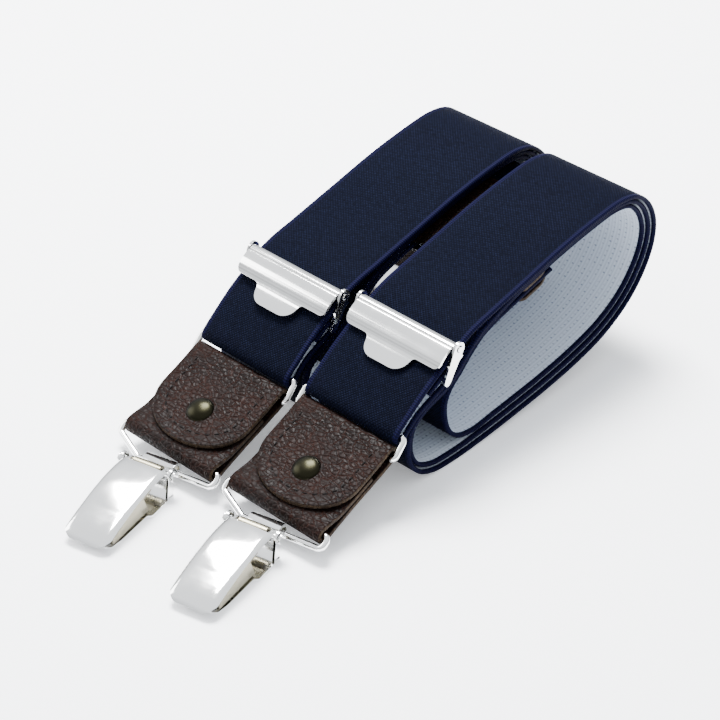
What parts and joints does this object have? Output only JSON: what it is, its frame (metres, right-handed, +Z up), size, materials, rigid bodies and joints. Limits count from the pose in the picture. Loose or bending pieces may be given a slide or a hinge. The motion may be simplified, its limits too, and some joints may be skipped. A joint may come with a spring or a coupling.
{
  "type": "suspenders",
  "caption": "Clip-on elastic suspenders wound into a coil, with sliders, leather tabs on wire rings, and lever clips at the ends.",
  "frame": {"origin": "middle of the wound suspenders' footprint, on the surface that the coil lies on", "axes": "+X across the two straps, +Y from the front clips to the far fold of the coil, +Z up"},
  "size_m": [0.083, 0.1875, 0.0554],
  "materials": {
    "navy_elastic": "woven elastic webbing, navy bird's-eye face and pale back",
    "leather": "dark brown grained leather",
    "polished_nickel": "polished nickel plate",
    "spring_steel": "bright stamped steel",
    "antique_brass": "dark antique brass",
    "grip_pad": "matt moulded pad"
  },
  "bodies": {
    "webbing": {"elastic_strap_left": "navy_elastic", "elastic_strap_right": "navy_elastic", "elastic_strap_rear": "navy_elastic", "yoke_front": "leather", "yoke_back": "leather", "slider_frame_left": "polished_nickel", "slider_frame_right": "polished_nickel"},
    "slider_lever_left": {"slider_lever_left": "polished_nickel"},
    "slider_lever_right": {"slider_lever_right": "polished_nickel"},
    "ring_right": {"ring_right": "polished_nickel"},
    "tab_right": {"leather_tab_right": "leather", "rivet_cap_right": "antique_brass", "rivet_back_right": "antique_brass"},
    "loop_right": {"wire_loop_right": "polished_nickel"},
    "clip_right": {"clip_base_right": "polished_nickel", "clip_pin_right": "polished_nickel", "grip_pad_right": "grip_pad"},
    "lever_right": {"clip_lever_right": "polished_nickel"},
    "jaw_right": {"clip_jaw_right": "spring_steel"},
    "ring_left": {"ring_left": "polished_nickel"},
    "tab_left": {"leather_tab_left": "leather", "rivet_cap_left": "antique_brass", "rivet_back_left": "antique_brass"},
    "loop_left": {"wire_loop_left": "polished_nickel"},
    "clip_left": {"clip_base_left": "polished_nickel", "clip_pin_left": "polished_nickel", "grip_pad_left": "grip_pad"},
    "lever_left": {"clip_lever_left": "polished_nickel"},
    "jaw_left": {"clip_jaw_left": "spring_steel"},
    "ring_rear": {"ring_rear": "polished_nickel"},
    "tab_rear": {"leather_tab_rear": "leather", "rivet_cap_rear": "antique_brass", "rivet_back_rear": "antique_brass"},
    "loop_rear": {"wire_loop_rear": "polished_nickel"},
    "clip_rear": {"clip_base_rear": "polished_nickel", "clip_pin_rear": "polished_nickel", "grip_pad_rear": "grip_pad"},
    "lever_rear": {"clip_lever_rear": "polished_nickel"},
    "jaw_rear": {"clip_jaw_rear": "spring_steel"}
  },
  "joints": [
    {"name": "slider_lever_left_hinge", "type": "hinge", "parent": "webbing", "child": "slider_lever_left", "pos_m": [-0.02025, 0.0008, 0.04069], "axis": [-1, 0, 0], "range_deg": [0, 100]},
    {"name": "slider_lever_right_hinge", "type": "hinge", "parent": "webbing", "child": "slider_lever_right", "pos_m": [0.02005, 0.0041, 0.04049], "axis": [-1, 0, 0], "range_deg": [0, 100]},
    {"name": "ring_right_swing", "type": "hinge", "parent": "webbing", "child": "ring_right", "pos_m": [0.02005, -0.0176, 0.02149], "axis": [-1, 0, 0], "range_deg": [-10, 15]},
    {"name": "tab_right_swing", "type": "hinge", "parent": "ring_right", "child": "tab_right", "pos_m": [0.02005, -0.0221, 0.01649], "axis": [-1, 0, 0], "range_deg": [-20, 20]},
    {"name": "loop_right_swing", "type": "hinge", "parent": "tab_right", "child": "loop_right", "pos_m": [0.02165, -0.04951, 0.00679], "axis": [-1, 0, 0], "range_deg": [-20, 12]},
    {"name": "clip_right_swing", "type": "hinge", "parent": "loop_right", "child": "clip_right", "pos_m": [0.02165, -0.05439, 0.0028], "axis": [-0.9763, -0.2164, 0], "range_deg": [-20, 25]},
    {"name": "lever_right_hinge", "type": "hinge", "parent": "clip_right", "child": "lever_right", "pos_m": [0.02299, -0.06044, 0.0068], "axis": [-0.9763, -0.2164, 0], "range_deg": [0, 75]},
    {"name": "jaw_right_hinge", "type": "hinge", "parent": "clip_right", "child": "jaw_right", "pos_m": [0.02299, -0.06044, 0.0068], "axis": [-0.9763, -0.2164, 0], "range_deg": [0, 10.5]},
    {"name": "ring_left_swing", "type": "hinge", "parent": "webbing", "child": "ring_left", "pos_m": [-0.02025, -0.0194, 0.02149], "axis": [-1, 0, 0], "range_deg": [-10, 15]},
    {"name": "tab_left_swing", "type": "hinge", "parent": "ring_left", "child": "tab_left", "pos_m": [-0.02025, -0.0239, 0.01649], "axis": [-1, 0, 0], "range_deg": [-20, 20]},
    {"name": "loop_left_swing", "type": "hinge", "parent": "tab_left", "child": "loop_left", "pos_m": [-0.01885, -0.05131, 0.00679], "axis": [-1, 0, 0], "range_deg": [-20, 12]},
    {"name": "clip_left_swing", "type": "hinge", "parent": "loop_left", "child": "clip_left", "pos_m": [-0.01885, -0.05619, 0.0028], "axis": [-0.9724, -0.2334, 0], "range_deg": [-20, 25]},
    {"name": "lever_left_hinge", "type": "hinge", "parent": "clip_left", "child": "lever_left", "pos_m": [-0.0174, -0.06222, 0.0068], "axis": [-0.9724, -0.2334, 0], "range_deg": [0, 75]},
    {"name": "jaw_left_hinge", "type": "hinge", "parent": "clip_left", "child": "jaw_left", "pos_m": [-0.0174, -0.06222, 0.0068], "axis": [-0.9724, -0.2334, 0], "range_deg": [0, 10.5]},
    {"name": "ring_rear_swing", "type": "hinge", "parent": "webbing", "child": "ring_rear", "pos_m": [-0.0216, 0.08191, 0.02966], "axis": [1, 0, 0], "range_deg": [-1, 1]},
    {"name": "tab_rear_swing", "type": "hinge", "parent": "ring_rear", "child": "tab_rear", "pos_m": [-0.0216, 0.07676, 0.02533], "axis": [1, 0, 0], "range_deg": [-1, 1]},
    {"name": "loop_rear_swing", "type": "hinge", "parent": "tab_rear", "child": "loop_rear", "pos_m": [-0.0216, 0.04889, 0.01707], "axis": [1, 0, 0], "range_deg": [-2, 2]},
    {"name": "clip_rear_swing", "type": "hinge", "parent": "loop_rear", "child": "clip_rear", "pos_m": [-0.0216, 0.04289, 0.01902], "axis": [1, 0, 0], "range_deg": [-1.5, 1]},
    {"name": "lever_rear_hinge", "type": "hinge", "parent": "clip_rear", "child": "lever_rear", "pos_m": [-0.0216, 0.03703, 0.01455], "axis": [1, 0, 0], "range_deg": [0, 2.5]},
    {"name": "jaw_rear_hinge", "type": "hinge", "parent": "clip_rear", "child": "jaw_rear", "pos_m": [-0.0216, 0.03703, 0.01455], "axis": [1, 0, 0], "range_deg": [0, 0.35]}
  ],
  "couplings": [
    {"joint": "jaw_right_hinge", "follows": "lever_right_hinge", "ratio": 0.14},
    {"joint": "jaw_left_hinge", "follows": "lever_left_hinge", "ratio": 0.14},
    {"joint": "jaw_rear_hinge", "follows": "lever_rear_hinge", "ratio": 0.14}
  ]
}
